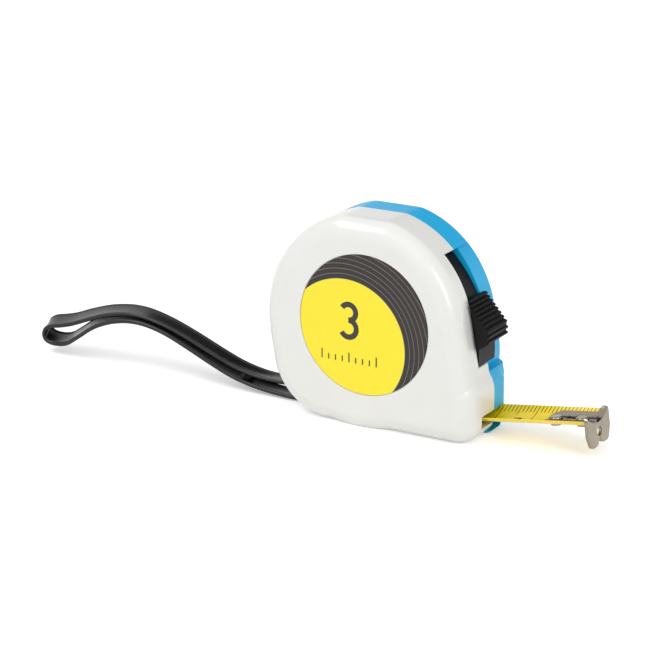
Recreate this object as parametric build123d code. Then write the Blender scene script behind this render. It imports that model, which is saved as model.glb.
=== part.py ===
from build123d import *
import os
from math import asin, atan2, cos, degrees, hypot, radians, sin, sqrt, tan

# Tape measure: two-shell case, spring spool, cambered blade with end hook, thumb lock and wrist strap.
# Millimetres. +X is the way the blade comes out, -Y the white face, +Z up.
# The origin is on the bottom face, under the spool axis, in the parting plane of the shells.

# Spool and blade widths
blade_width = 13.0
blade_side_play = 0.2        # blade to each flange
spool_width = blade_width + 2 * blade_side_play
flange_thickness = 0.8
cover_thickness = 0.6
washer_thickness = 0.45
washer_gap = 0.05
post_radius = 3.0
running_clearance = 0.06
post_boss_wall = 3.0         # boss round the post's end
washer_rim = 2.8             # washer round the post
post_boss_radius = post_radius + post_boss_wall
washer_radius = post_radius + washer_rim
drum_outer_radius = 17.5
drum_wall = 1.3
wound_thickness = 3.4        # all turns of the blade on the drum
flange_stand = 0.8           # flange above the wound blade
roll_outer_radius = drum_outer_radius + wound_thickness
flange_radius = roll_outer_radius + flange_stand
spring_width = 11.0
spring_thickness = 0.3
spring_half_turns = 16
spring_post_gap = 0.6
spring_inner_radius = post_radius + spring_post_gap
spring_gap = 0.7             # spring to drum
spring_room = drum_outer_radius - drum_wall - spring_gap - spring_thickness - spring_inner_radius
spring_pitch = 2 * spring_room / spring_half_turns
clip_width = 3.0
clip_length = 10.0

# Case outline, seen from the white side: its round part clears the thumb lock, which clears the spool
hub_height = 28.1            # spool axis above the bottom face
case_centre_x = -1.65        # centre of the round part, behind the spool axis
case_centre_drop = 0.75      # and below it
case_centre_z = hub_height - case_centre_drop
lock_back = 9.6              # centre of the lock's arc, behind the centre of the round part
lock_below = 5.4             # and below it
lock_centre = (case_centre_x - lock_back, case_centre_z - lock_below)
carrier_gap = 0.68           # spool's flange to the lock's carrier
carrier_thickness = 1.1
carrier_drop = 2.6           # carrier's outside below the channel floor
channel_depth = 0.81         # channel floor below the rim, where it is deepest
carrier_inner_radius = hypot(lock_centre[0], hub_height - lock_centre[1]) + flange_radius + carrier_gap
carrier_outer_radius = carrier_inner_radius + carrier_thickness
channel_radius = carrier_outer_radius + carrier_drop
case_radius = channel_radius + channel_depth - hypot(lock_back, lock_below)
top_flat_depth = 0.8         # flat on top, below the full round
top_height = case_centre_z + case_radius - top_flat_depth
top_corner_radius = 8.0      # soft corners of that flat
front_lean = 10.0            # front wall leans forward, degrees
ledge_height = 16.6          # where the front wall meets the nose
nose_stand = 3.95            # front face of the nose, in front of the round part
nose_reach = case_centre_x + case_radius + nose_stand
brow_drop = 2.7              # from the ledge down to the nose's upright face
nose_top_height = ledge_height - brow_drop
nose_brow_radius = 5.9       # soft brow over that face, on the white shell
rear_lean = 10.0             # rear wall leans in towards the bottom, degrees
rear_corner_radius = 17.0    # rear lower corner

# Case thickness and walls
wall = 2.0
front_boss_length = 3.45     # stands in from the white face to the spool's washer
rear_play = 0.15             # spool's washer to the blue back
front_depth = spool_width / 2 + flange_thickness + washer_thickness + 2 * washer_gap + front_boss_length + wall
rear_depth = spool_width / 2 + cover_thickness + washer_thickness + 2 * washer_gap + rear_play + wall
front_face_radius = 5.2      # rounding between rim and white face
rear_face_radius = 3.0       # rounding between rim and blue back
nose_edge_radius = 5.8       # upright edges of the nose
front_base_radius = 4.9      # bottom edges of the white shell
rear_base_radius = 2.7       # bottom edges of the blue shell
seam_ease = 0.3              # front wall's rounding is this much tighter than the drum's beside it
least_inner_radius = 0.8

# Label
label_radius = 18.6
label_recess = 0.5
label_thickness = 0.3
label_clearance = 0.2

# Shell screws
boss_radius = 2.2            # white shell
rear_boss_radius = 2.4       # blue shell
boss_clearance = 0.26        # boss to flange
screw_radius = 1.25
screw_head_radius = 1.85
screw_head_depth = 1.4
screw_length = 14.0
screw_clearance = 0.15
screw_sink = 3.4             # head's seat below the blue back
screw_head_seat = rear_depth - screw_sink
drive_radius = 1.0
drive_depth = 0.7
top_boss_angle = 77.7        # about the spool axis, degrees
top_boss_reach = flange_radius + rear_boss_radius + boss_clearance
rear_boss_angle = 137.5
rear_boss_stand = 1.6        # rear boss further out from the flange
rear_boss_reach = flange_radius + rear_boss_radius + rear_boss_stand
nose_boss_inset = 3.0        # from the nose's front face
nose_boss_height = 9.8
low_boss_place = (-9.0, 3.9)
screw_places = [
    (rear_boss_reach * cos(radians(rear_boss_angle)), hub_height + rear_boss_reach * sin(radians(rear_boss_angle))),
    (top_boss_reach * cos(radians(top_boss_angle)), hub_height + top_boss_reach * sin(radians(top_boss_angle))),
    (nose_reach - nose_boss_inset, nose_boss_height),
    low_boss_place]

# Blade
blade_thickness = 0.2
blade_camber = 2.2           # height of the edges over the middle
blade_chord = 11.95          # width across the cambered blade
blade_rise = 8.0             # blade climbs out of the mouth, degrees
blade_height = 4.25          # middle of the blade where it passes the nose's front face
blade_out = 28.3             # length outside the mouth
blade_straight_in = 13.0     # straight length inside the mouth
flat_camber = 0.06           # what is left of the camber where the blade is wound
half_way_camber = 0.7
half_way_place = (10.5, 4.1)

# Mouth
mouth_side = 0.85            # beside the blade's edges
mouth_roof = 0.35            # over the blade's edges
mouth_half_width = blade_chord / 2 + mouth_side
mouth_floor = 0.75           # under the middle of the blade
mouth_depth = 17.0
well_floor = 0.8             # the blue half of the mouth is open nearly to the bottom
well_depth = 6.0

# End hook
hook_gap = 0.1               # tongue over blade
tongue_thickness = 0.7
tongue_length = 13.2
hook_end_gap = 0.3           # blade's end to hanging plate
hook_plate_in = blade_out + hook_end_gap
tongue_reach = hook_plate_in - tongue_length
tongue_tip_half_width = 2.6
tongue_half_width = 4.0
tongue_taper = 2.4           # length over which the tip widens
tongue_shoulder = tongue_reach + tongue_taper
flare_length = 1.1
flare_start = hook_plate_in - flare_length
hook_plate_thickness = 0.9
hook_half_width = 6.4
hook_bend_radius = 0.65
hook_shoulder = 3.2          # top of the plate at its sides, over the middle of the blade
hook_shoulder_radius = 1.5
hook_foot = 5.4              # foot of the plate below the middle of the blade
foot_half_width = 4.9
foot_notch_half_width = 1.5
foot_notch_depth = 2.0
foot_lobe_radius = 1.5
nail_hole_radius = 1.25
nail_hole_drop = 2.0
hook_play = 0.8              # travel of the hook on its rivets
tip_rivet_inset = 2.4        # from the tip
plate_rivet_inset = 3.5      # from the hanging plate
rivet_places = (tongue_reach + tip_rivet_inset, hook_plate_in - plate_rivet_inset)
rivet_radius = 0.9
rivet_clearance = 0.06
rivet_head_radius = 1.7
rivet_head_height = 0.5
rivet_head_gap = 0.1
rivet_tail_radius = 1.5
rivet_tail_height = 0.45

# Thumb lock, which slides on an arc
channel_floor = 1.8          # wall under it
channel_foot = 0.5           # its lower end, over the ledge
channel_low_angle = degrees(asin((ledge_height + channel_foot - lock_centre[1]) / channel_radius))
slot_low_angle = -4.1
slot_high_angle = 40.7
slot_front = -5.2            # slot edge in the white shell
slot_rear = 2.8              # slot edge in the blue shell
lock_clearance = 0.25
carrier_front = -6.7
carrier_rear = 4.3
carrier_high_angle = 40.0
skirt_thickness = 0.95
skirt_rear = 4.1
skirt_high_angle = 4.1
pad_foot_angle = 1.7
pad_tip_angle = 5.9
pad_crown_angle = 9.7
pad_top_angle = 21.9
pad_tip_reach = 5.0          # over the channel floor
pad_crown_reach = 5.5
pad_top_reach = 1.4
pad_tip_radius = channel_radius + pad_tip_reach
pad_crown_radius = channel_radius + pad_crown_reach
pad_top_radius = channel_radius + pad_top_reach
pad_overhang = 1.7
rib_count = 8
tip_rib_count = 2            # on the blunt tip
tail_drop = 0.45             # tail behind the pad, below the channel floor
tail_end_drop = 1.5          # tail's end, which goes under the shell
tail_room = 0.25             # over the tail there
lock_travel = 11.5           # degrees
pad_hollow = 1.3             # the ramp is hollow, steeper towards its tip
rib_height = 0.5
shoe_length = 4.2
shoe_thickness = 1.6
shoe_side = 0.55             # shoe beyond the blade's edges
shoe_half_width = blade_chord / 2 + shoe_side
shoe_gap = 0.3
foot_thickness = 2.2
foot_height = blade_camber + shoe_gap + shoe_thickness

# Strap and its pin
pin_place = (-18.5, 2.9)
pin_radius = 1.1
pin_seat = 2.1               # length of the pin in each shell
pocket_wall = 2.0            # left round the pocket
pocket_room = 2.9            # pin to pocket
pocket_radius = pin_radius + pocket_room
pin_block_radius = pocket_radius + pocket_wall
strap_width = 6.0
strap_thickness = 1.1
strap_side_play = 0.9
pocket_half_width = strap_width / 2 + strap_side_play
pin_half_length = pocket_half_width + pin_seat
strap_turn_radius = 1.6      # where the strap goes round its pin
slot_ceiling = (-36.0, 20.0)
button_place = -43.0
button_length = 1.3
button_width = 5.0
button_head_length = 2.2
button_head_height = 0.6
strap_route = [
    (-16.65, 3.0), (-16.65, 4.75), (-20.0, 4.75), (-26.4, 4.15), (-36.0, 3.65), (-45.0, 5.05), (-53.0, 8.1),
    (-61.0, 11.4), (-70.0, 14.5), (-79.0, 16.0), (-88.0, 14.7), (-95.5, 12.3), (-102.0, 9.9), (-109.9, 8.6),
    (-109.9, 3.6), (-102.5, 3.6), (-97.5, 7.0), (-92.0, 10.9), (-85.0, 13.5), (-77.5, 14.3), (-69.5, 12.8),
    (-61.5, 9.5), (-53.5, 6.1), (-45.5, 3.2), (-36.5, 1.6), (-27.0, 1.0), (-20.4, 0.9), (-16.65, 1.05),
    (-16.65, 2.8)]


def slab(outline, y_low, y_high):
    """Solid of an X-Z outline between two Y planes."""
    return extrude(Plane.XZ.offset(-y_high) * outline, amount=y_high - y_low, dir=(0, -1, 0))


def disc(x, z, radius, y_low, y_high):
    return slab(Pos(x, z) * Circle(radius), y_low, y_high)


def ring(x, z, inner, outer, y_low, y_high):
    return slab(Pos(x, z) * (Circle(outer) - Circle(inner)), y_low, y_high)


def polar(radius, angle):
    """Point at a radius and angle about the lock's centre."""
    turn = radians(angle)
    return (lock_centre[0] + radius * cos(turn), lock_centre[1] + radius * sin(turn))


def sector(inner, outer, low, high, y_low, y_high):
    """Part of a ring about the lock's centre, between two angles."""
    middle = (low + high) / 2
    edges = [
        ThreePointArc(polar(outer, low), polar(outer, middle), polar(outer, high)),
        Line(polar(outer, high), polar(inner, high)),
        ThreePointArc(polar(inner, high), polar(inner, middle), polar(inner, low)),
        Line(polar(inner, low), polar(outer, low))]
    return slab(make_face(edges), y_low, y_high)


def on_blade(piece):
    """Moves a piece from the blade's own frame, u along the blade from the mouth, to its place."""
    return Pos(nose_reach, 0, blade_height) * Rot(0, -blade_rise, 0) * piece


def half_outside(depth, face_radius, base_radius, soft_brow, inset):
    """One half of the case as a solid from the parting plane to y = -depth, shrunk by inset all round."""
    radius = case_radius - inset
    bottom = inset
    near = -(depth - inset)
    edge = max(face_radius - inset, least_inner_radius)
    nose_edge = max(nose_edge_radius - inset, least_inner_radius * 2)
    low_edge = max(base_radius - inset, least_inner_radius)
    lean = radians(front_lean)
    back = radians(rear_lean)
    nose_x = nose_reach - inset

    top_cut = Pos(case_centre_x, top_height - inset + radius) * Rectangle(4 * radius, 2 * radius)
    drum_outline = Pos(case_centre_x, case_centre_z) * Circle(radius) - top_cut
    drum_outline = fillet(drum_outline.vertices(), top_corner_radius)
    drum = slab(drum_outline, near, 0)
    drum = fillet(drum.faces().sort_by(Axis.Y)[0].edges(), edge)

    front_x = case_centre_x + radius * cos(lean)
    front_z = case_centre_z + radius * sin(lean)
    wall_low = nose_top_height - inset
    low_x = front_x + tan(lean) * (front_z - wall_low)
    front_wall = slab(Polygon((front_x, front_z), (low_x, wall_low), (0, wall_low), (0, hub_height), align=None),
                      near, 0)
    front_wall = fillet(front_wall.faces().sort_by(Axis.Y)[0].edges().sort_by(Axis.X)[-1], edge - seam_ease)

    ledge_z = ledge_height - inset
    ledge_x = front_x + tan(lean) * (front_z - ledge_z)
    nose_outline = Polygon((case_centre_x, bottom), (nose_x, bottom), (nose_x, nose_top_height - inset / 2),
                           (ledge_x, ledge_z), (case_centre_x, ledge_z), align=None)
    if soft_brow:
        brow = nose_outline.vertices().sort_by_distance((nose_x, nose_top_height - inset / 2, 0))[0]
        nose_outline = fillet(brow, nose_brow_radius - inset / 2)
    nose = slab(nose_outline, near, 0)
    near_edges = nose.faces().sort_by(Axis.Y)[0].edges()
    nose = fillet([e for e in near_edges if e.center().X > ledge_x and e.center().Z > bottom + edge / 4], nose_edge)
    low_edges = nose.faces().sort_by(Axis.Z)[0].edges()
    nose = fillet([e for e in low_edges if e.center().Y < -edge / 4 and e.center().X > case_centre_x + edge / 4],
                  low_edge)

    rear_x = case_centre_x - radius * cos(back)
    rear_z = case_centre_z - radius * sin(back)
    corner_x = rear_x + tan(back) * (rear_z - bottom)
    rear_outline = Polygon((rear_x, rear_z), (corner_x, bottom), (nose_x / 2, bottom), (nose_x / 2, ledge_z),
                           (0, hub_height), align=None)
    corner = rear_outline.vertices().sort_by_distance((corner_x, bottom, 0))[0]
    rear_outline = fillet(corner, rear_corner_radius - inset)
    rear = slab(rear_outline, near, 0)
    near_edges = rear.faces().sort_by(Axis.Y)[0].edges()
    outer = [e for e in near_edges if e.center().X < rear_x / 2 or e.center().Z < bottom + edge / 4]
    rear = fillet([e for e in outer if e.center().Z < rear_z], low_edge)
    outside = drum + front_wall + nose + rear
    below = Pos(case_centre_x, bottom - radius) * Rectangle(4 * radius, 2 * radius)
    return outside - slab(below, -2 * depth, depth)


def half_shell(depth, face_radius, base_radius, soft_brow):
    """Hollow half of the case, solid where the strap's pin sits."""
    cavity = half_outside(depth, face_radius, base_radius, soft_brow, wall)
    cavity -= disc(pin_place[0], pin_place[1], pin_block_radius, -depth, 0)
    return half_outside(depth, face_radius, base_radius, soft_brow, 0) - cavity


def mouth_cut():
    """Opening that the blade runs through."""
    roof = blade_camber + mouth_roof
    opening = Pos(0, (roof - mouth_floor) / 2) * Rectangle(2 * mouth_half_width, roof + mouth_floor)
    return on_blade(extrude(blade_plane(-mouth_depth) * opening, amount=1.4 * mouth_depth, dir=(1, 0, 0)))


def mouth_well():
    """Room under the blade in the blue half of the mouth."""
    back = nose_reach - well_depth
    well = Polygon((back, well_floor), (2 * nose_reach, well_floor), (2 * nose_reach, blade_height),
                   (back, blade_height), align=None)
    return slab(well, 0, mouth_half_width)


def strap_cut():
    """Pocket round the strap's pin, open to the back with room for the strap to swing up."""
    px, pz = pin_place
    pocket = disc(px, pz, pocket_radius, -pocket_half_width, pocket_half_width)
    mouth = Polygon((px, pz + pocket_radius), slot_ceiling, (slot_ceiling[0], -wall), (px, -wall), align=None)
    return pocket + slab(mouth, -pocket_half_width, pocket_half_width)


def lock_slot():
    return sector(channel_radius - 4 * wall, channel_radius + 4 * wall, slot_low_angle, slot_high_angle,
                  slot_front, slot_rear)


def tail_outline(turn, room):
    """Side view of the lock's tail, turned about the lock's centre and with room over it."""
    low = pad_top_angle - 1 + turn
    high = slot_high_angle - 0.4 + turn
    base = carrier_outer_radius - carrier_thickness / 2
    start = channel_radius - tail_drop + room
    end = channel_radius - tail_end_drop + room
    edges = [
        Line(polar(base, low), polar(start, low)),
        ThreePointArc(polar(start, low), polar((start + end) / 2, (low + high) / 2), polar(end, high)),
        Line(polar(end, high), polar(base, high)),
        Line(polar(base, high), polar(base, low))]
    return make_face(edges)


def tail_pocket():
    """Relief inside the shells' wall, where the lock's tail goes when the pad is pushed up."""
    return slab(tail_outline(lock_travel + 1, tail_room), slot_front, slot_rear)


def thumb_channel():
    return sector(channel_radius, channel_radius + 4 * wall, channel_low_angle, slot_high_angle, 0, 2 * rear_depth)


def front_shell():
    inner_face = -(front_depth - wall)
    shell = half_shell(front_depth, front_face_radius, front_base_radius, True)
    for x, z in screw_places:
        shell += disc(x, z, boss_radius, inner_face - wall / 2, 0)
    shell += disc(0, hub_height, post_boss_radius, inner_face - wall / 2, -(spool_width / 2 + flange_thickness
                                                                         + washer_thickness + 2 * washer_gap))
    shell &= half_outside(front_depth, front_face_radius, front_base_radius, True, 0)
    for x, z in screw_places:
        shell -= disc(x, z, screw_radius, screw_head_seat - screw_length, 1)
    shell -= disc(0, hub_height, post_radius, inner_face, 0)
    shell -= disc(0, hub_height, label_radius + label_clearance, -2 * front_depth, label_recess - front_depth)
    shell -= disc(*pin_place, pin_radius, -pin_half_length, 0)
    return shell - lock_slot() - tail_pocket() - mouth_cut() - strap_cut()


def rear_shell():
    inner_face = rear_depth - wall
    shell = mirror(half_shell(rear_depth, rear_face_radius, rear_base_radius, False), about=Plane.XZ)
    shell += sector(channel_radius - channel_floor, channel_radius, channel_low_angle - channel_floor,
                    slot_high_angle + channel_floor, 0, inner_face + wall / 2)
    for x, z in screw_places:
        shell += disc(x, z, rear_boss_radius, 0, inner_face + wall / 2)
    shell &= mirror(half_outside(rear_depth, rear_face_radius, rear_base_radius, False, 0), about=Plane.XZ)
    for x, z in screw_places:
        shell -= disc(x, z, screw_radius + screw_clearance, -1, rear_depth)
        shell -= disc(x, z, screw_head_radius + screw_clearance, screw_head_seat, 2 * rear_depth)
    shell -= disc(*pin_place, pin_radius, 0, pin_half_length)
    shell -= mouth_well()
    return shell - lock_slot() - tail_pocket() - thumb_channel() - mouth_cut() - strap_cut()


def front_label():
    seat = label_recess - front_depth
    return disc(0, hub_height, label_radius, seat - label_thickness, seat)


def case_screws():
    screws = []
    for x, z in screw_places:
        screw = disc(x, z, screw_radius, screw_head_seat - screw_length + 0.5, screw_head_seat)
        screw += disc(x, z, screw_head_radius, screw_head_seat, screw_head_seat + screw_head_depth)
        top = screw_head_seat + screw_head_depth
        for turn in (0, 90):
            bar = Pos(x, z) * Rot(0, 0, turn) * Rectangle(2 * drive_radius, drive_radius / 2)
            screw -= slab(bar, top - drive_depth, top)
        screws.append(screw)
    return Compound(children=screws)


def centre_post():
    post = disc(0, hub_height, post_radius, wall - front_depth, rear_depth - wall)
    slit = Pos(0, hub_height) * Rectangle(3 * post_radius, spring_thickness + running_clearance)
    return post - slab(slit, -spring_width / 2, spring_width / 2)


def washer(y_low):
    return ring(0, hub_height, post_radius + running_clearance, washer_radius, y_low, y_low + washer_thickness)


def spool_drum():
    half = spool_width / 2
    drum = ring(0, hub_height, drum_outer_radius - drum_wall, drum_outer_radius, -half, half)
    drum += ring(0, hub_height, post_radius + running_clearance, flange_radius, -half - flange_thickness, -half)
    gap = Pos(0, hub_height + drum_outer_radius) * Rectangle(clip_width, 4 * drum_wall)
    return drum - slab(gap, -clip_length / 2, clip_length / 2)


def spool_cover():
    half = spool_width / 2
    return ring(0, hub_height, post_radius + running_clearance, flange_radius, half, half + cover_thickness)


def tape_clip():
    """Plate that fills the drum's gap, with a foot inside for the end of the spring."""
    top = hub_height + sqrt(drum_outer_radius ** 2 - (clip_width / 2) ** 2)
    low = hub_height + drum_outer_radius - drum_wall - spring_thickness
    plate = Pos(0, (top + low) / 2) * Rectangle(clip_width, top - low)
    foot = Pos(clip_width / 2, low) * Rectangle(2 * clip_width, 2 * spring_thickness)
    foot -= Pos(0, hub_height) * (Circle(2 * case_radius) - Circle(drum_outer_radius - drum_wall))
    return slab(plate + foot, -clip_length / 2, clip_length / 2)


def tape_roll():
    return ring(0, hub_height, drum_outer_radius, roll_outer_radius, -blade_width / 2, blade_width / 2)


def mainspring():
    """Spiral of half turns, each on the next of two centres, so that it grows by one pitch a turn."""
    step = spring_pitch / 2
    edges = []
    for offset in (0, spring_thickness):
        start = spring_inner_radius + offset
        x_now = start
        side = 1
        lines = []
        for turn in range(spring_half_turns):
            radius = start + turn * step + step / 2
            x_next = x_now - side * 2 * radius
            middle = ((x_now + x_next) / 2, hub_height + side * radius)
            lines.append(ThreePointArc((x_now, hub_height), middle, (x_next, hub_height)))
            x_now = x_next
            side = -side
        edges.append(lines)
    inner, outer = edges
    ends = [Line(inner[0] @ 0, outer[0] @ 0), Line(inner[-1] @ 1, outer[-1] @ 1)]
    return slab(make_face(inner + outer + ends), -spring_width / 2, spring_width / 2)


def camber_radius(camber, half):
    return (half ** 2 + camber ** 2) / (2 * camber)


def arc_band(centre, inner, outer, turn):
    """Band between two arcs about a centre above, to an angle on each side."""
    a, b = [
        [(r * sin(t), centre - r * cos(t)) for t in (-turn, 0, turn)]
        for r in (inner, outer)]
    return make_face([ThreePointArc(*a), Line(a[2], b[2]), ThreePointArc(*b), Line(b[0], a[0])])


def camber_section(camber, half):
    """Cross-section of the blade: an arc with its edges up by camber, its thickness below the top surface."""
    radius = camber_radius(camber, half)
    return arc_band(radius, radius, radius + blade_thickness, asin(half / radius))


def blade_plane(u):
    return Plane(origin=(u, 0, 0), x_dir=(0, 1, 0), z_dir=(1, 0, 0))


def section_at(x, z, angle, camber, half):
    turn = radians(angle)
    plane = Plane(origin=(x, 0, z), x_dir=(0, 1, 0), z_dir=(cos(turn), 0, sin(turn)))
    return plane * camber_section(camber, half)


def tape_blade():
    straight = extrude(blade_plane(-blade_straight_in) * camber_section(blade_camber, blade_chord / 2),
                       amount=blade_straight_in + blade_out, dir=(1, 0, 0))
    for place in rivet_places:
        straight -= Pos(place, 0, 0) * Cylinder(rivet_radius, 4 * blade_camber)
    rise = radians(blade_rise)
    start_x = nose_reach - blade_straight_in * cos(rise)
    start_z = blade_height - blade_straight_in * sin(rise)
    mid_x, mid_z = half_way_place
    reach = hypot(mid_x, hub_height - mid_z)
    out = roll_outer_radius + running_clearance + blade_thickness
    slope = degrees(atan2(hub_height - mid_z, -mid_x) + asin(out / reach)) - 180
    length = sqrt(reach ** 2 - out ** 2)
    roll_x = mid_x - length * cos(radians(slope))
    roll_z = mid_z - length * sin(radians(slope))
    sections = [
        section_at(roll_x, roll_z, slope, flat_camber, blade_width / 2),
        section_at(mid_x, mid_z, slope / 2, half_way_camber, (blade_width + blade_chord) / 4),
        section_at(start_x, start_z, blade_rise, blade_camber, blade_chord / 2)]
    return on_blade(straight) + loft(sections, ruled=True)


def hook_rivets():
    top = hook_gap + tongue_thickness + rivet_head_gap + rivet_head_radius ** 2 / (2 * blade_chord)
    rivets = []
    for place in rivet_places:
        low = -blade_thickness - rivet_tail_height
        shank = Pos(place, 0, (top + low) / 2) * Cylinder(rivet_radius, top - low)
        head = Pos(place, 0, top + rivet_head_height / 2) * Cylinder(rivet_head_radius, rivet_head_height)
        head = fillet(head.edges().sort_by(Axis.Z)[-1], rivet_head_height * 0.8)
        tail = Pos(place, 0, low + rivet_tail_height / 2) * Cylinder(rivet_tail_radius, rivet_tail_height)
        rivets.append(on_blade(shank + head + tail))
    return Compound(children=rivets)


def end_hook():
    """Tongue that follows the blade's camber, and a hanging plate with a nail hole and a notched foot."""
    outer = hook_plate_in + hook_plate_thickness
    plan = Polygon((tongue_reach, -tongue_tip_half_width), (tongue_shoulder, -tongue_half_width),
                   (flare_start, -tongue_half_width), (hook_plate_in, -hook_half_width), (outer, -hook_half_width),
                   (outer, hook_half_width), (hook_plate_in, hook_half_width), (flare_start, tongue_half_width),
                   (tongue_shoulder, tongue_half_width), (tongue_reach, tongue_tip_half_width), align=None)
    tips = plan.vertices().sort_by(Axis.X)[0:4]
    plan = fillet(tips, tongue_tip_half_width * 0.6)
    lift = hook_gap + tongue_thickness
    radius = camber_radius(blade_camber, blade_chord / 2)
    top = radius - lift
    low = top + tongue_thickness
    turn = asin(hook_half_width / top)
    section = arc_band(radius, top, low, turn)
    band = extrude(blade_plane(tongue_reach - 1) * section, amount=outer - tongue_reach + 1, dir=(1, 0, 0))
    tongue = band & extrude(Pos(0, 0, -hook_foot) * plan, amount=4 * hook_foot, dir=(0, 0, 1))
    plate = Polygon((-hook_half_width, hook_shoulder), (-hook_half_width, -nail_hole_drop),
                    (-foot_half_width, -hook_foot), (-foot_notch_half_width, -hook_foot),
                    (0, foot_notch_depth - hook_foot), (foot_notch_half_width, -hook_foot),
                    (foot_half_width, -hook_foot), (hook_half_width, -nail_hole_drop),
                    (hook_half_width, hook_shoulder), align=None)
    lobes = [v for v in plate.vertices() if v.Y < 0.5 - hook_foot]
    plate = fillet(lobes, foot_lobe_radius)
    plate -= Pos(0, radius) * Circle(radius - lift)
    plate -= Pos(0, -nail_hole_drop) * Circle(nail_hole_radius)
    hanging = extrude(blade_plane(hook_plate_in) * plate, amount=hook_plate_thickness)
    hook = tongue + hanging
    shoulders = Pos(0, hook_shoulder - 2 * hook_foot) * Rectangle(2 * hook_half_width, 4 * hook_foot)
    shoulders = fillet(shoulders.vertices().group_by(Axis.Y)[-1], hook_shoulder_radius)
    hook &= extrude(blade_plane(0) * shoulders, amount=2 * hook_plate_in, dir=(1, 0, 0))
    bend = hook.faces().sort_by(Axis.X)[-1].edges().sort_by_distance((outer, 0, lift))[0]
    hook = fillet(bend, hook_bend_radius)
    for place in rivet_places:
        slot = SlotCenterToCenter(hook_play, 2 * (rivet_radius + rivet_clearance))
        hook -= extrude(Pos(place - hook_play / 2, 0, -1) * slot, amount=3 * blade_camber, dir=(0, 0, 1))
    return on_blade(hook)


def leg_angle():
    """Angle where the lock's leg ends, in the foot that carries the brake shoe."""
    rise = radians(blade_rise)
    radius = carrier_outer_radius - carrier_thickness / 2
    leg_x = lock_centre[0] + radius
    for _ in range(4):
        foot_z = blade_height + (leg_x - nose_reach) * tan(rise) + (foot_height + foot_thickness / 3) / cos(rise)
        turn = asin((foot_z - lock_centre[1]) / radius)
        leg_x = lock_centre[0] + radius * cos(turn)
    return degrees(turn)


def shoe_place():
    """Middle of the shoe along the blade, square under the end of the leg."""
    end_x, end_z = polar(carrier_outer_radius - carrier_thickness / 2, leg_angle())
    rise = radians(blade_rise)
    return (end_x - nose_reach) * cos(rise) + (end_z - blade_height) * sin(rise)


def pad_outline():
    """Side view of the thumb pad: an undercut and grooved tip, and a ribbed ramp."""
    points = [polar(channel_radius, pad_foot_angle)]
    for rib in range(tip_rib_count):
        for share, groove in ((0.0, 0.0), (0.35, 0.0), (0.5, rib_height), (0.85, rib_height)):
            way = (rib + share) / tip_rib_count
            angle = pad_tip_angle + way * (pad_crown_angle - pad_tip_angle)
            radius = pad_tip_radius + way * (pad_crown_radius - pad_tip_radius)
            points.append(polar(radius - groove, angle))
    for rib in range(rib_count):
        for share, lift in ((0.0, 0.0), (0.25, rib_height), (0.65, rib_height), (0.9, 0.0)):
            way = (rib + share) / rib_count
            angle = pad_crown_angle + way * (pad_top_angle - pad_crown_angle)
            radius = pad_top_radius + (1 - way) ** pad_hollow * (pad_crown_radius - pad_top_radius)
            points.append(polar(radius + lift - rib_height, angle))
    points.append(polar(channel_radius, pad_top_angle))
    return Polygon(*points, align=None) - Pos(*lock_centre) * Circle(channel_radius + lock_clearance)


def lock_slider():
    low = slot_low_angle + 0.4
    stem_front = slot_front + lock_clearance
    stem_rear = slot_rear - lock_clearance
    skirt_low = channel_radius + lock_clearance
    slider = sector(carrier_inner_radius, carrier_outer_radius, leg_angle(),
                    carrier_high_angle, carrier_front, carrier_rear)
    slider += sector(carrier_outer_radius - carrier_thickness / 2, skirt_low + skirt_thickness / 2, low,
                     pad_top_angle, stem_front, stem_rear)
    slider += slab(tail_outline(0, 0), stem_front, stem_rear)
    slider += sector(skirt_low, skirt_low + skirt_thickness, low, skirt_high_angle, stem_front, skirt_rear)
    pad = pad_outline()
    slider += slab(pad, stem_front, skirt_rear)
    over = pad - Pos(*lock_centre) * Circle(pad_top_radius)
    slider += slab(over, stem_front - pad_overhang, stem_front)
    foot = Pos(shoe_place(), 0, foot_height + foot_thickness / 2) * Box(
        shoe_length, 2 * shoe_half_width, foot_thickness)
    return slider + on_blade(foot)


def brake_shoe():
    shoe = Pos(shoe_place(), 0, foot_height - shoe_thickness / 2) * Box(
        shoe_length, 2 * shoe_half_width, shoe_thickness)
    return on_blade(fillet(shoe.edges().filter_by(Axis.Y).group_by(Axis.Z)[0], shoe_thickness / 3))


def strap_pin():
    return disc(*pin_place, pin_radius, -pin_half_length, pin_half_length)


def strap_radii():
    """Bend radius at each inner point of the route, as large as its two runs allow, but the pin's at its ends."""
    radii = []
    for before, here, after in zip(strap_route, strap_route[1:], strap_route[2:]):
        a = Vector(here[0] - before[0], here[1] - before[1])
        b = Vector(after[0] - here[0], after[1] - here[1])
        half_turn = radians(a.get_angle(b)) / 2
        radii.append(0.45 * min(a.length, b.length) / tan(half_turn))
    radii[0] = strap_turn_radius
    radii[-1] = strap_turn_radius
    return radii


def strap_path():
    return Plane.XZ * FilletPolyline(*strap_route, radius=strap_radii())


def wrist_strap():
    path = strap_path()
    start = Plane(origin=path @ 0, x_dir=(0, 1, 0), z_dir=path % 0)
    strap = sweep(start * Rectangle(strap_width, strap_thickness), path=path)
    return strap - strap_button()


def strap_button():
    """Snap post through both layers of the strap, with a head under the lower one."""
    upper = strap_level(strap_route[:8])
    lower = strap_level(strap_route[8:])
    low = lower - strap_thickness / 2
    post = Pos(button_place, 0, (upper + low) / 2) * Box(button_length, button_width, upper - low)
    head = Pos(button_place, 0, low - button_head_height / 2) * Box(
        button_head_length, button_width, button_head_height)
    return post + head


def strap_level(points):
    """Height of the route where it passes the button."""
    for (x0, z0), (x1, z1) in zip(points, points[1:]):
        if min(x0, x1) <= button_place <= max(x0, x1):
            return z0 + (z1 - z0) * (button_place - x0) / (x1 - x0)


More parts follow.
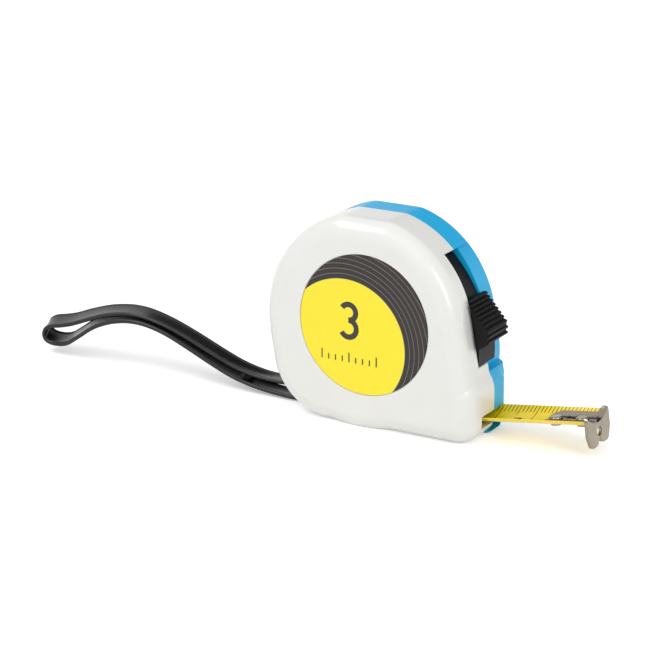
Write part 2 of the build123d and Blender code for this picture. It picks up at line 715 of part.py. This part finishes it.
nodes = {
    "front_shell": front_shell(),
    "rear_shell": rear_shell(),
    "front_label": front_label(),
    "case_screws": case_screws(),
    "centre_post": centre_post(),
    "front_washer": washer(-(spool_width / 2 + flange_thickness + washer_gap + washer_thickness)),
    "rear_washer": washer(spool_width / 2 + cover_thickness + washer_gap),
    "spool_drum": spool_drum(),
    "spool_cover": spool_cover(),
    "tape_clip": tape_clip(),
    "tape_roll": tape_roll(),
    "mainspring": mainspring(),
    "tape_blade": tape_blade(),
    "hook_rivets": hook_rivets(),
    "end_hook": end_hook(),
    "lock_slider": lock_slider(),
    "brake_shoe": brake_shoe(),
    "strap_pin": strap_pin(),
    "wrist_strap": wrist_strap(),
    "strap_button": strap_button(),
}

os.makedirs("parts", exist_ok=True)
for name, shape in nodes.items():
    export_step(shape, f"parts/{name}.step")
print("strap bend radii", [round(r, 1) for r in strap_radii()])
print("strap length", round(strap_path().length, 1))
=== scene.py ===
import math
import bmesh
import bpy
import numpy as np
from mathutils import Matrix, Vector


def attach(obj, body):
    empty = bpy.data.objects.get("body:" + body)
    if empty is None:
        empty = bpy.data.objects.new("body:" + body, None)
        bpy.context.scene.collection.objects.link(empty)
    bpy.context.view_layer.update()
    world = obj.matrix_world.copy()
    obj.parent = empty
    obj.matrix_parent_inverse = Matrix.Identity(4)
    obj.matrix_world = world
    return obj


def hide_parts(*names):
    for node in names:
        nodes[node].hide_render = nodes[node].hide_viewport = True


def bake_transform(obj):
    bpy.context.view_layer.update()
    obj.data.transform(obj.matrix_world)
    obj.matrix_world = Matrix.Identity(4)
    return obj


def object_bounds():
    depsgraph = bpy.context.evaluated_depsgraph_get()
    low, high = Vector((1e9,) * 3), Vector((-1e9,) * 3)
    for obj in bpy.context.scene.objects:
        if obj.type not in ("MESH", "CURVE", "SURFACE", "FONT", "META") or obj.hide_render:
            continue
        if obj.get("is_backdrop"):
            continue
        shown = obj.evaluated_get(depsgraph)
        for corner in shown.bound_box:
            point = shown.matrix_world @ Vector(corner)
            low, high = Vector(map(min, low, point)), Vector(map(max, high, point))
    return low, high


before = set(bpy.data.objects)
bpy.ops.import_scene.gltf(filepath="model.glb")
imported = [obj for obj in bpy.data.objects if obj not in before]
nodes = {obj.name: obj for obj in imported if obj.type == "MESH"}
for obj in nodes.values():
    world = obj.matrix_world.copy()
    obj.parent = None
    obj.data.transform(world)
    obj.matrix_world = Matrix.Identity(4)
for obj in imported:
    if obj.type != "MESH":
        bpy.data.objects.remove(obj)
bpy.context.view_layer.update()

scene = bpy.context.scene
scene.view_settings.view_transform = "Standard"
mm = 0.001


def linear(code):
    # sRGB hex to linear: the power curve above the knee, a straight line below it
    parts = [int(code[i:i + 2], 16) / 255 for i in (1, 3, 5)]
    return tuple(c / 12.92 if c <= 0.04045 else ((c + 0.055) / 1.055) ** 2.4 for c in parts) + (1.0,)


def add(tree, kind, links=None, **settings):
    # one node: settings are its own fields, links go to its inputs by name or number
    node = tree.nodes.new(kind)
    for key, value in settings.items():
        setattr(node, key, value)
    for key, value in (links or {}).items():
        if isinstance(value, bpy.types.NodeSocket):
            tree.links.new(value, node.inputs[key])
        else:
            node.inputs[key].default_value = value
    return node


def newMaterial(name, colour, roughness, **sockets):
    # a Principled material of one colour and roughness, with its other sockets by name
    material = bpy.data.materials.new(name)
    material.use_nodes = True
    tree = material.node_tree
    shader = tree.nodes["Principled BSDF"]
    shader.inputs["Base Color"].default_value = linear(colour)
    shader.inputs["Roughness"].default_value = roughness
    for key, value in sockets.items():
        shader.inputs[key.replace("_", " ")].default_value = value
    return material, tree, shader


cloud = 9.0  # mm, size of the slow changes in a surface


def surface(tree, shader, grain, height, spread, tint=None, stretch=(1, 1, 1)):
    # fine noise of the grain's size, in mm, is the bump
    # a slow noise moves the roughness by the spread either way, and the colour between the two of the tint
    roughness = shader.inputs["Roughness"].default_value
    place = add(tree, "ShaderNodeTexCoord").outputs["Object"]
    drawn = add(tree, "ShaderNodeMapping", {"Vector": place, "Scale": stretch}).outputs[0]
    fine = add(tree, "ShaderNodeTexNoise", {
        "Vector": drawn, "Scale": 1 / (grain * mm), "Detail": 3.0}).outputs[0]
    slow = add(tree, "ShaderNodeTexNoise", {
        "Vector": drawn, "Scale": 1 / (cloud * mm), "Detail": 2.0}).outputs[0]
    bump = add(tree, "ShaderNodeBump", {"Height": fine, "Strength": 1.0, "Distance": height * mm})
    band = add(tree, "ShaderNodeMapRange", {  # the noise keeps between 0.3 and 0.7
        0: slow, 1: 0.3, 2: 0.7, 3: roughness - spread, 4: roughness + spread})
    tree.links.new(bump.outputs[0], shader.inputs["Normal"])
    tree.links.new(band.outputs[0], shader.inputs["Roughness"])
    if tint:
        one, two = (linear(code) for code in tint)
        paint = add(tree, "ShaderNodeMix", {0: slow, 6: one, 7: two}, data_type="RGBA")
        tree.links.new(paint.outputs[2], shader.inputs["Base Color"])
    return place


# Warm white ABS, injection moulded and polished: glossy, a little light goes into it
whiteAbs, tree, shader = newMaterial("abs_white_polished", "#E8E8E5", 0.2, IOR=1.53, Subsurface_Weight=0.1)
shader.inputs["Subsurface Radius"].default_value = (1.0, 0.92, 0.8)
shader.inputs["Subsurface Scale"].default_value = 1.2 * mm
surface(tree, shader, grain=3.0, height=0.002, spread=0.04, tint=("#EAEAE8", "#E5E5E1"))

# Sky blue ABS, injection moulded: satin, evenly coloured through
blueAbs, tree, shader = newMaterial("abs_blue_satin", "#0BADE2", 0.38, IOR=1.53)
surface(tree, shader, grain=0.7, height=0.003, spread=0.05, tint=("#0CB0E6", "#09A8DD"))

# Black acetal, moulded with a fine spark grain: soft broad sheen
blackAcetal, tree, shader = newMaterial(
    "acetal_black_grained", "#0E0E0D", 0.44, IOR=1.48, Specular_IOR_Level=0.16)
surface(tree, shader, grain=0.35, height=0.008, spread=0.06, tint=("#10100F", "#0B0B0A"))

# Soft black PVC, extruded: half gloss, with long drawn marks along X
strapPvc, tree, shader = newMaterial(
    "pvc_black_extruded", "#10100F", 0.26, IOR=1.52, Specular_IOR_Level=0.4)
drawnOut = (0.12, 1, 1)
surface(tree, shader, grain=0.4, height=0.008, spread=0.05, tint=("#121211", "#0D0D0C"), stretch=drawnOut)

# Black rubber, moulded: nearly matt
shoeRubber, tree, shader = newMaterial("rubber_black_moulded", "#1E1E1E", 0.75, IOR=1.52)
surface(tree, shader, grain=0.3, height=0.01, spread=0.05, tint=("#222222", "#1A1A1A"))

# Pressed steel, bright nickel plate: warm grey mirror, wavy from the press; its slow lighter and darker
# colour clouds are painted reflection, the gradient that darker surroundings would give in the mirror
nickelPlate, tree, shader = newMaterial("steel_nickel_plated", "#9A9085", 0.16, Metallic=1.0)
# the tint's two colours are painted reflection: lighter and darker clouds over the plate
surface(tree, shader, grain=3.5, height=0.09, spread=0.05, tint=("#A3988B", "#81776B"))

# Zinc-plated and turned steel of the screws, post, clip and pin: cool grey, half bright
zincSteel, tree, shader = newMaterial("steel_zinc_plated", "#A9A9AB", 0.34, Metallic=1.0)
surface(tree, shader, grain=0.4, height=0.004, spread=0.08, tint=("#B2B2B3", "#9E9EA2"))

# Spring steel, heat blued: dark, with brown and blue clouds
bluedSteel, tree, shader = newMaterial("steel_spring_blued", "#59616E", 0.3, Metallic=1.0)
surface(tree, shader, grain=0.6, height=0.003, spread=0.06, tint=("#56606F", "#665F5E"))

# Natural nylon, moulded washers: milky, dull
nylon, tree, shader = newMaterial("nylon_natural", "#E2DECF", 0.5, IOR=1.53)
surface(tree, shader, grain=0.5, height=0.005, spread=0.05, tint=("#E5E1D4", "#DDD8C8"))

# Black screen ink: dense, a little duller than the ground that it is printed on
printInk, tree, shader = newMaterial("ink_black_screened", "#2A2522", 0.4, IOR=1.5)
surface(tree, shader, grain=0.3, height=0.001, spread=0.04, tint=("#2E2926", "#26211E"))
print("stage 1: materials")


def gridMesh(name, points, material, across=None):
    # quads between the rows and columns of each grid of points
    # columns close on themselves, and end rows get a face
    points = points.reshape((-1,) + points.shape[-3:])
    index = np.arange(points[..., 0].size).reshape(points.shape[:3])
    index = np.concatenate([index, index[:, :, :1]], axis=2)
    quads = np.stack([index[:, :-1, :-1], index[:, :-1, 1:], index[:, 1:, 1:], index[:, 1:, :-1]], axis=-1)
    faces = quads.reshape(-1, 4).tolist() + index[:, 0, :-1].tolist() + index[:, -1, :-1].tolist()
    mesh = bpy.data.meshes.new(name)
    mesh.from_pydata((points.reshape(-1, 3) * mm).tolist(), [], faces)
    shell = bmesh.new()
    shell.from_mesh(mesh)
    bmesh.ops.recalc_face_normals(shell, faces=shell.faces)
    shell.to_mesh(mesh)
    shell.free()
    mesh.materials.append(material)
    if across is not None:
        attribute = mesh.attributes.new("across", "FLOAT", "POINT")
        attribute.data.foreach_set("value", across.reshape(-1).astype(np.float32))
    piece = bpy.data.objects.new(name, mesh)
    scene.collection.objects.link(piece)
    return piece


def smooth(piece, angle=50):
    # smooth faces, with a crease where two of them turn by more than the angle
    piece.data.polygons.foreach_set("use_smooth", np.ones(len(piece.data.polygons), bool))
    piece.data.set_sharp_from_angle(angle=math.radians(angle))


def spline(points, perRun):
    # NURBS of order 3 with the points as its controls, read back as a line of points
    data = bpy.data.curves.new("route", "CURVE")
    data.dimensions = "3D"
    data.resolution_u = perRun
    line = data.splines.new("NURBS")
    line.points.add(len(points) - 1)
    controls = np.insert(np.array(points, float), [1, 2], [0.0, 1.0], axis=1)  # x, 0, z and the weight
    line.points.foreach_set("co", controls.ravel())
    line.order_u = 3
    line.use_endpoint_u = True
    route = bpy.data.objects.new("route", data)
    traced = bpy.data.meshes.new_from_object(route)
    places = np.empty(len(traced.vertices) * 3)
    traced.vertices.foreach_get("co", places)
    bpy.data.objects.remove(route)
    bpy.data.curves.remove(data)
    bpy.data.meshes.remove(traced)
    return places.reshape(-1, 3)[:, [0, 2]]


strap = {
    "width": 6.0, "length": 199.4, "perRun": 14,
    # each layer's shift across, and the share of it along the length
    "aside": 0.8, "asideAlong": ([0, 0.02, 0.06, 0.44, 0.56, 0.94, 0.98, 1], [0, 0, 1, 1, -1, -1, 0, 0]),
    # at the far end the far edge stands higher and further out, per width; the share of that along the length
    "lean": 0.28, "swing": 0.23, "twistAlong": ([0.1, 0.25, 0.42, 0.58, 0.75, 0.9], [0, 0.2, 1, 1, 0.2, 0]),
    "route": [
        (-16.65, 3.0), (-16.65, 4.75), (-20.0, 4.75), (-26.4, 4.15), (-36.0, 3.65), (-45.0, 5.0),
        (-53.0, 7.9), (-61.0, 11.2), (-70.0, 14.3), (-79.0, 15.9), (-88.0, 14.6), (-95.5, 12.0),
        (-102.0, 9.3), (-109.9, 8.0), (-109.9, 3.6), (-102.5, 3.6), (-97.5, 7.0), (-92.0, 10.9),
        (-85.0, 13.5), (-77.5, 14.4), (-69.5, 13.0), (-61.5, 9.8), (-53.5, 6.3), (-45.5, 3.1),
        (-36.5, 1.35), (-27.0, 0.8), (-20.4, 0.8), (-16.65, 1.05), (-16.65, 2.8)],
    # a quarter of the section, across and out: a raised bead along each edge
    "bead": [
        (0.0, 0.34), (1.8, 0.34), (2.0, 0.38), (2.15, 0.5),
        (2.4, 0.57), (2.7, 0.5), (2.92, 0.28), (3.0, 0.0)],
}


def strapMesh():
    # the section is carried along the route: across goes along Y, out along the route's normal
    # the layer that goes out lies a little to the far side of the one that comes back
    # towards the far end the section is turned: across also goes up and out
    centre = spline(strap["route"], strap["perRun"])
    step = np.linalg.norm(np.diff(centre, axis=0), axis=1)
    share = np.concatenate([[0], np.cumsum(step)]) / step.sum()
    aside = strap["aside"] * np.interp(share, *strap["asideAlong"])
    tangent = np.gradient(centre, axis=0)
    tangent /= np.linalg.norm(tangent, axis=1)[:, None]
    normal = np.stack([-tangent[:, 1], tangent[:, 0]], axis=1)
    quarter = np.array(strap["bead"])
    half = np.vstack([quarter, quarter[-2::-1] * [1, -1]])
    loop = np.vstack([half, half[-2:0:-1] * [-1, 1]])
    twist = np.interp(share, *strap["twistAlong"])[:, None] * loop[None, :, 0]
    x = centre[:, None, 0] + normal[:, None, 0] * loop[None, :, 1] - strap["swing"] * twist
    z = centre[:, None, 1] + normal[:, None, 1] * loop[None, :, 1] + strap["lean"] * twist
    y = aside[:, None] + loop[None, :, 0]
    piece = gridMesh("wrist_strap_pvc", np.stack([x, y, z], axis=-1), strapPvc)
    return piece, np.stack([centre[:, 0], aside, centre[:, 1]], axis=1) * mm


button = {
    "place": -43.0, "squareness": 4.0, "sides": 48,
    # height, half length and half width of each level: a head under the strap, a waist between its layers
    "levels": [
        (1.62, 0.5, 1.7), (1.7, 0.95, 2.3), (1.9, 1.15, 2.6), (2.15, 1.1, 2.7),
        (2.5, 0.85, 3.3), (3.6, 0.75, 3.4), (4.3, 0.85, 3.0), (4.6, 0.8, 2.5)],
}


def buttonMesh():
    # each level is a rounded rectangle: cosine and sine to a power below one, times half length and width
    turn = np.linspace(0, 2 * np.pi, button["sides"], endpoint=False)
    height, halfLength, halfWidth = (np.array(column)[:, None] for column in zip(*button["levels"]))
    power = 2 / button["squareness"]
    x = button["place"] + halfLength * np.sign(np.cos(turn)) * np.abs(np.cos(turn)) ** power
    y = halfWidth * np.sign(np.sin(turn)) * np.abs(np.sin(turn)) ** power
    return gridMesh("strap_button_snap", np.stack(np.broadcast_arrays(x, y, height), axis=-1), blackAcetal)


buttonPiece = buttonMesh()
smooth(buttonPiece)
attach(buttonPiece, "strap")
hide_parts("strap_button")

strapPiece, strapLine = strapMesh()
smooth(strapPiece)
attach(strapPiece, "strap")
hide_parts("wrist_strap")
print("stage 2: strap")

blade = {
    "mouth": (30.997, 4.25), "rise": 8.0, "camber": 2.2, "chord": 11.95, "width": 13.0, "thickness": 0.2,
    "out": 28.3, "straightIn": 13.0, "zero": 28.6,  # zero: the inner face of the hook's plate
    "inner": [(-3.0, 7.4), (5.0, 5.4), (11.5, 3.4)], "runIn": 4.0,  # from the roll to the straight run
    "flat": 0.06,  # camber left at the roll
    "perRun": 10, "stepsAlong": 120, "stepsAcross": 33,
    "squeeze": (-13.0, 15.0),  # the run, from the mouth, that gives as the blade goes in and out
    "tick": 0.2, "tickLength": (2.3, 3.6, 13.0),  # each mm, each 5 mm, each 10 mm
    "yellow": "#FFE01E", "ink": "#1B1812",
}
rise = math.radians(blade["rise"])
along = np.array([math.cos(rise), math.sin(rise)])
upright = np.array([-math.sin(rise), math.cos(rise)])


def onBlade(u, y, w):
    # the blade's own frame: u along it from the mouth, y across, w up from its middle
    x = blade["mouth"][0] + u * along[0] + w * upright[0]
    z = blade["mouth"][1] + u * along[1] + w * upright[1]
    return np.stack(np.broadcast_arrays(x, y, z), axis=-1)


def camberArc(v, camber):
    # a point v along the width of a strip bent to a circle: across and up
    half = blade["width"] / 2
    bend = 2 * np.arctan(2 * camber / blade["chord"])
    return half / bend * np.sin(bend * v / half), half / bend * (1 - np.cos(bend * v / half))


def bladeMesh():
    # strip section carried along the inner run and the straight: the camber grows from flat to full
    start = np.array(blade["mouth"]) - blade["straightIn"] * along
    bend = spline(blade["inner"] + [tuple(start), tuple(start + blade["runIn"] * along)], blade["perRun"])
    run = np.linspace(blade["runIn"] - blade["straightIn"], blade["out"], blade["stepsAlong"])[1:, None]
    line = np.vstack([bend, np.array(blade["mouth"]) + run * along])
    tangent = np.gradient(line, axis=0)
    tangent /= np.linalg.norm(tangent, axis=1)[:, None]
    camber = np.interp(line[:, 0], [blade["inner"][0][0], start[0]], [blade["flat"], blade["camber"]])
    v = np.linspace(-1, 1, blade["stepsAcross"]) * blade["width"] / 2
    loop = np.concatenate([v, v[::-1]])
    across, up = camberArc(loop[None, :], camber[:, None])
    up = up - np.repeat([0, blade["thickness"]], len(v))[None, :]
    x = line[:, None, 0] - tangent[:, None, 1] * up
    z = line[:, None, 1] + tangent[:, None, 0] * up
    printed = np.concatenate([v, np.full(len(v), -blade["width"])])  # underside: out of the ticks' reach
    return gridMesh("tape_blade_strip", np.stack([x, across, z], axis=-1), bladePaint,
                    np.broadcast_to(printed[None, :], x.shape))


# Spring steel strip, yellow enamel with printed black ticks: smooth, half gloss
bladePaint, tree, shader = newMaterial("steel_yellow_enamel", blade["yellow"], 0.3, IOR=1.5)
place = surface(tree, shader, grain=0.8, height=0.002, spread=0.05)
turned = add(tree, "ShaderNodeMapping", {"Vector": place, "Rotation": (0, rise, 0)}, vector_type="TEXTURE")
alongBlade = add(tree, "ShaderNodeSeparateXYZ", {0: turned.outputs[0]}).outputs[0]
zeroAt = blade["mouth"][0] * along[0] + blade["mouth"][1] * along[1] + blade["zero"]
distance = add(tree, "ShaderNodeMath", {
    0: alongBlade, 1: -1 / mm, 2: zeroAt}, operation="MULTIPLY_ADD").outputs[0]
across = add(tree, "ShaderNodeAttribute", attribute_name="across").outputs["Fac"]
ticks = 0.0
for step, length in zip((1.0, 5.0, 10.0), blade["tickLength"]):
    # dark within half a tick of a multiple of the step, out to its length from the far edge
    off = add(tree, "ShaderNodeMath", {0: distance, 1: step}, operation="DIVIDE").outputs[0]
    near = add(tree, "ShaderNodeMath", {0: off, 1: 0.5}, operation="PINGPONG").outputs[0]
    half = blade["tick"] / 2 / step
    line = add(tree, "ShaderNodeMath", {0: near, 1: half}, operation="LESS_THAN").outputs[0]
    end = blade["width"] / 2 - length
    reach = add(tree, "ShaderNodeMath", {0: across, 1: end}, operation="GREATER_THAN").outputs[0]
    tick = add(tree, "ShaderNodeMath", {0: line, 1: reach}, operation="MULTIPLY").outputs[0]
    ticks = add(tree, "ShaderNodeMath", {0: ticks, 1: tick}, operation="MAXIMUM").outputs[0]
yellow, ink = linear(blade["yellow"]), linear(blade["ink"])
paint = add(tree, "ShaderNodeMix", {0: ticks, 6: yellow, 7: ink}, data_type="RGBA")
tree.links.new(paint.outputs[2], shader.inputs["Base Color"])

bladePiece = bladeMesh()
smooth(bladePiece)
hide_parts("tape_blade")
squeezeFrom, squeezeTo = (tuple(onBlade(u, 0.0, 0.0) * mm) for u in blade["squeeze"])
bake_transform(bladePiece)
print("stage 3: blade")


def arc(x, z, radius, first, last):
    # points round a centre, from the first angle to the last, in degrees
    turn = np.radians(np.linspace(first, last, 24))
    return np.stack([x + radius * np.cos(turn), z + radius * np.sin(turn)], axis=1)


# Plain numerals as strokes, each 1 high about its middle
numerals = {
    1: [np.array([(-0.2, 0.3), (0.02, 0.47), (0.02, -0.5)])],
    2: [np.vstack([arc(0, 0.23, 0.25, 165, -38), [(-0.27, -0.46), (0.29, -0.46)]])],
    3: [arc(-0.02, 0.235, 0.225, 150, -90), arc(-0.02, -0.225, 0.245, 90, -150)],
}
inkLow, inkHigh, inkStep = -0.05, 0.03, 0.004  # how far print reaches into and over its ground


def ribbon(strokes, width, count=64):
    # each stroke is walked at even steps; the section is a thin bar, half a width to each side of it
    lines = []
    for stroke in strokes:
        gone = np.concatenate([[0], np.cumsum(np.linalg.norm(np.diff(stroke, axis=0), axis=1))])
        walk = np.linspace(0, gone[-1], count)
        lines.append(np.stack([np.interp(walk, gone, stroke[:, axis]) for axis in (0, 1)], axis=1))
    lines = np.array(lines)
    tangent = np.gradient(lines, axis=1)
    tangent /= np.linalg.norm(tangent, axis=2)[..., None]
    side = np.stack([-tangent[..., 1], tangent[..., 0]], axis=-1) * width / 2
    flat = np.stack([lines - side, lines + side, lines + side, lines - side], axis=2)
    order = np.arange(len(lines))[:, None, None] * inkStep  # each stroke a hair over the last
    lift = np.broadcast_to(np.array([inkLow, inkLow, inkHigh, inkHigh]) + order, flat.shape[:3])
    return flat[..., 0], flat[..., 1], lift


digits = {"height": 3.8, "stroke": 0.45, "past": 2.3, "across": -0.5}  # past: beyond the line of its 10 mm
marks = [stroke * digits["height"] + [10.0 * number + digits["past"], 0] for number in (1, 2)
         for stroke in numerals[number]]
right, top, lift = ribbon(marks, digits["stroke"])
over, up = camberArc(digits["across"] - top, blade["camber"])  # they read from the far side
digitPiece = gridMesh("tape_blade_digits", onBlade(blade["zero"] - right, over, up + lift), printInk)
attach(digitPiece, "blade")
print("stage 4: blade digits")

label = {
    "hub": 28.1, "face": -13.3, "yellow": "#FBE834", "charcoal": "#2F2A28", "line": "#77726F",
    "field": (-5.5, -6.0, 17.5),  # the yellow field's centre and radius
    "ring": 1.35, "thread": 0.16,  # spacing and width of the fine rings round it
}

# Printed sticker under a gloss laminate: a round yellow field on charcoal, with fine rings round the field
labelPrint, tree, shader = newMaterial(
    "label_print_laminated", label["yellow"], 0.26, IOR=1.5, Specular_IOR_Level=0.36)
place = surface(tree, shader, grain=1.2, height=0.002, spread=0.03)
fieldX, fieldZ, fieldRadius = label["field"]
fieldPlace = (fieldX * mm, label["face"] * mm, (label["hub"] + fieldZ) * mm)
reach = add(tree, "ShaderNodeVectorMath", {0: place, 1: fieldPlace}, operation="DISTANCE").outputs["Value"]
ground = add(tree, "ShaderNodeMath", {0: reach, 1: fieldRadius * mm}, operation="GREATER_THAN").outputs[0]
spaced = add(tree, "ShaderNodeMath", {0: reach, 1: label["ring"] * mm}, operation="DIVIDE").outputs[0]
near = add(tree, "ShaderNodeMath", {0: spaced, 1: 0.5}, operation="PINGPONG").outputs[0]
half = label["thread"] / 2 / label["ring"]
rings = add(tree, "ShaderNodeMath", {0: near, 1: half}, operation="LESS_THAN").outputs[0]
yellow, charcoal, pale = (linear(label[ink]) for ink in ("yellow", "charcoal", "line"))
ringed = add(tree, "ShaderNodeMix", {0: rings, 6: charcoal, 7: pale}, data_type="RGBA").outputs[2]
paint = add(tree, "ShaderNodeMix", {0: ground, 6: yellow, 7: ringed}, data_type="RGBA")
tree.links.new(paint.outputs[2], shader.inputs["Base Color"])

legend = {
    "numeral": (-4.2, 0.6), "height": 9.4, "stroke": 1.45,
    "tick": 0.32, "first": (-12.2, -10.6), "step": 2.0, "count": 9, "tall": 2.6, "short": 1.5, "every": 4,
}
strokes = [stroke * legend["height"] + legend["numeral"] for stroke in numerals[3]]
bars = []
for number in range(legend["count"]):
    foot = np.array(legend["first"]) + [number * legend["step"], 0]
    height = legend["short"] if number % legend["every"] else legend["tall"]
    bars.append(np.array([foot, foot + [0, height]]))
printed = [ribbon(strokes, legend["stroke"]), ribbon(bars, legend["tick"])]
right, top, lift = (np.concatenate(parts) for parts in zip(*printed))
onLabel = np.stack([right, label["face"] - lift, label["hub"] + top], axis=-1)
legendPiece = gridMesh("front_label_legend", onLabel, printInk)
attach(legendPiece, "case")
print("stage 5: label")

turnPitch = 0.6  # mm from turn to turn

# Wound blade: enamel edges of the turns, drawn coarser than the real 0.25 mm, which is too fine to show; each
# turn goes from bright yellow to a darker yellow, which is painted shade of the gap to the next turn
rollPaint, tree, shader = newMaterial("steel_yellow_wound", blade["yellow"], 0.35, IOR=1.5)
place = surface(tree, shader, grain=0.8, height=0.002, spread=0.05)
flat = add(tree, "ShaderNodeVectorMath", {0: place, 1: (1, 0, 1)}, operation="MULTIPLY").outputs[0]
axle = (0, 0, label["hub"] * mm)
reach = add(tree, "ShaderNodeVectorMath", {0: flat, 1: axle}, operation="DISTANCE").outputs["Value"]
turns = add(tree, "ShaderNodeMath", {0: reach, 1: turnPitch / 2 * mm}, operation="DIVIDE").outputs[0]
# painted shade: darkest halfway between the bright rings, where the gaps between turns fall
shade = add(tree, "ShaderNodeMath", {0: turns, 1: 1.0}, operation="PINGPONG").outputs[0]
paint = add(tree, "ShaderNodeMix", {0: shade, 6: linear("#EFC818"), 7: linear("#8C7616")}, data_type="RGBA")
tree.links.new(paint.outputs[2], shader.inputs["Base Color"])

edges = {"weld": 0.002, "segments": 3, "angle": 32}
# material of each solid that shows as it is, and how wide its edges are rounded
finishes = {
    "front_shell": (whiteAbs, 0.2), "rear_shell": (blueAbs, 0.2), "front_label": (labelPrint, 0.04),
    "case_screws": (zincSteel, 0.1), "centre_post": (zincSteel, 0.1), "front_washer": (nylon, 0.05),
    "rear_washer": (nylon, 0.05), "spool_drum": (blackAcetal, 0.1), "spool_cover": (blackAcetal, 0.1),
    "tape_clip": (zincSteel, 0.05), "tape_roll": (rollPaint, 0.05), "mainspring": (bluedSteel, 0.02),
    "hook_rivets": (nickelPlate, 0.1), "end_hook": (nickelPlate, 0.18), "lock_slider": (blackAcetal, 0.12),
    "brake_shoe": (shoeRubber, 0.1), "strap_pin": (zincSteel, 0.1),
}
for name, (material, width) in finishes.items():
    piece = nodes[name]
    piece.data.materials.clear()
    piece.data.materials.append(material)
    piece.data.polygons.foreach_set("use_smooth", np.ones(len(piece.data.polygons), bool))
    weld = piece.modifiers.new("weld", "WELD")
    weld.merge_threshold = edges["weld"] * mm
    bevel = piece.modifiers.new("edges", "BEVEL")  # moulded and pressed edges are never sharp
    bevel.width = width * mm
    bevel.segments = edges["segments"]
    bevel.angle_limit = math.radians(edges["angle"])
    even = piece.modifiers.new("even", "WEIGHTED_NORMAL")  # wide flat faces stay flat beside roundings
    even.keep_sharp = True
print("stage 6: finishes")

studio = {
    "camera": (0.3037, -0.5548, 0.2267), "yaw": 30.19, "pitch": 17.73, "focal": 141.6,
    "floor": "#F4F4F3", "sky": 0.6, "lift": 0.36,  # lift: how much paler the floor looks than it lights
    "aim": (0, 0, 0.03),  # what the lamps point at
    "lamps": {  # place, width and height, watts
        "key_soft_box": ((-0.42, -0.28, 0.72), (0.6, 0.3), 2.2),
        "front_soft_box": ((0.72, -0.42, 0.42), (0.25, 0.55), 1.8),
    },
    "ceiling": {"from": (0.25, -0.55, 0.8), "strength": 0.4, "spread": 60},
    "card": {"place": (0.068, 0.75, 0.57), "size": (1.165, 0.5, 1), "tilt": 112},
}


def whiteSeen(tree):
    # 1 for rays that show the background to the eye or in a mirror, 0 for the rays that light the object
    rays = add(tree, "ShaderNodeLightPath").outputs
    seen = rays["Is Camera Ray"]
    for kind in ("Is Glossy Ray", "Is Transmission Ray"):
        seen = add(tree, "ShaderNodeMath", {0: seen, 1: rays[kind]}, operation="MAXIMUM").outputs[0]
    return seen


floorPaper, tree, shader = newMaterial("floor_paper_white", studio["floor"], 0.9)
shader.inputs["Emission Color"].default_value = (1, 1, 1, 1)
glow = add(tree, "ShaderNodeMath", {0: whiteSeen(tree), 1: studio["lift"]}, operation="MULTIPLY")
tree.links.new(glow.outputs[0], shader.inputs["Emission Strength"])
bpy.ops.mesh.primitive_plane_add(size=8, location=(0, 0, 0))
floor = bpy.context.object
floor.name = "floor"
floor.data.materials.append(floorPaper)
floor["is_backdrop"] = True

# a dark card behind and above, which only mirrors see: it gives bright metal its dark side
cardTilt = math.radians(studio["card"]["tilt"])
bpy.ops.mesh.primitive_plane_add(size=1, location=studio["card"]["place"], rotation=(cardTilt, 0, 0))
card = bpy.context.object
card.scale = studio["card"]["size"]
card.name = "dark_card"
card.data.materials.append(newMaterial("card_felt_black", "#101010", 0.9)[0])
card.visible_camera = card.visible_diffuse = card.visible_shadow = False
card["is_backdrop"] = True

world = bpy.data.worlds.new("studio_white")
scene.world = world
world.use_nodes = True
tree = world.node_tree
level = add(tree, "ShaderNodeMapRange", {0: whiteSeen(tree), 3: studio["sky"], 4: 1.0})
tree.nodes["Background"].inputs[0].default_value = (1, 1, 1, 1)
tree.links.new(level.outputs[0], tree.nodes["Background"].inputs[1])


def looking(place, toward):
    # axes of a lamp or camera: its back points away from what it looks at, its right stays level
    back = np.array(place, float) - np.array(toward, float)
    back /= np.linalg.norm(back)
    right = np.cross((0, 0, 1), back)
    right /= np.linalg.norm(right)
    axes = np.column_stack([right, np.cross(back, right), back, place])
    return Matrix(np.vstack([axes, [0, 0, 0, 1]]).tolist())


for name, (place, (wide, high), watts) in studio["lamps"].items():
    data = bpy.data.lights.new(name, "AREA")
    data.shape = "RECTANGLE"
    data.size, data.size_y = wide, high
    data.energy = watts
    lamp = bpy.data.objects.new(name, data)
    scene.collection.objects.link(lamp)
    lamp.matrix_world = looking(place, studio["aim"])
ceiling = bpy.data.objects.new("ceiling", bpy.data.lights.new("ceiling", "SUN"))  # even light, soft shadows
ceiling.data.energy = studio["ceiling"]["strength"]
ceiling.data.angle = math.radians(studio["ceiling"]["spread"])
scene.collection.objects.link(ceiling)
ceiling.matrix_world = looking(studio["ceiling"]["from"], (0, 0, 0))

yaw, pitch = math.radians(studio["yaw"]), math.radians(studio["pitch"])
sight = np.array([-math.sin(yaw) * math.cos(pitch), math.cos(yaw) * math.cos(pitch), -math.sin(pitch)])
cameraData = bpy.data.cameras.new("camera")
cameraData.lens = studio["focal"]
cameraData.sensor_width = 36
cameraData.clip_start = 0.01
camera = bpy.data.objects.new("camera", cameraData)
scene.collection.objects.link(camera)
camera.matrix_world = looking(studio["camera"], np.array(studio["camera"]) + sight)
scene.camera = camera
print("stage 7: studio")

low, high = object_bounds()
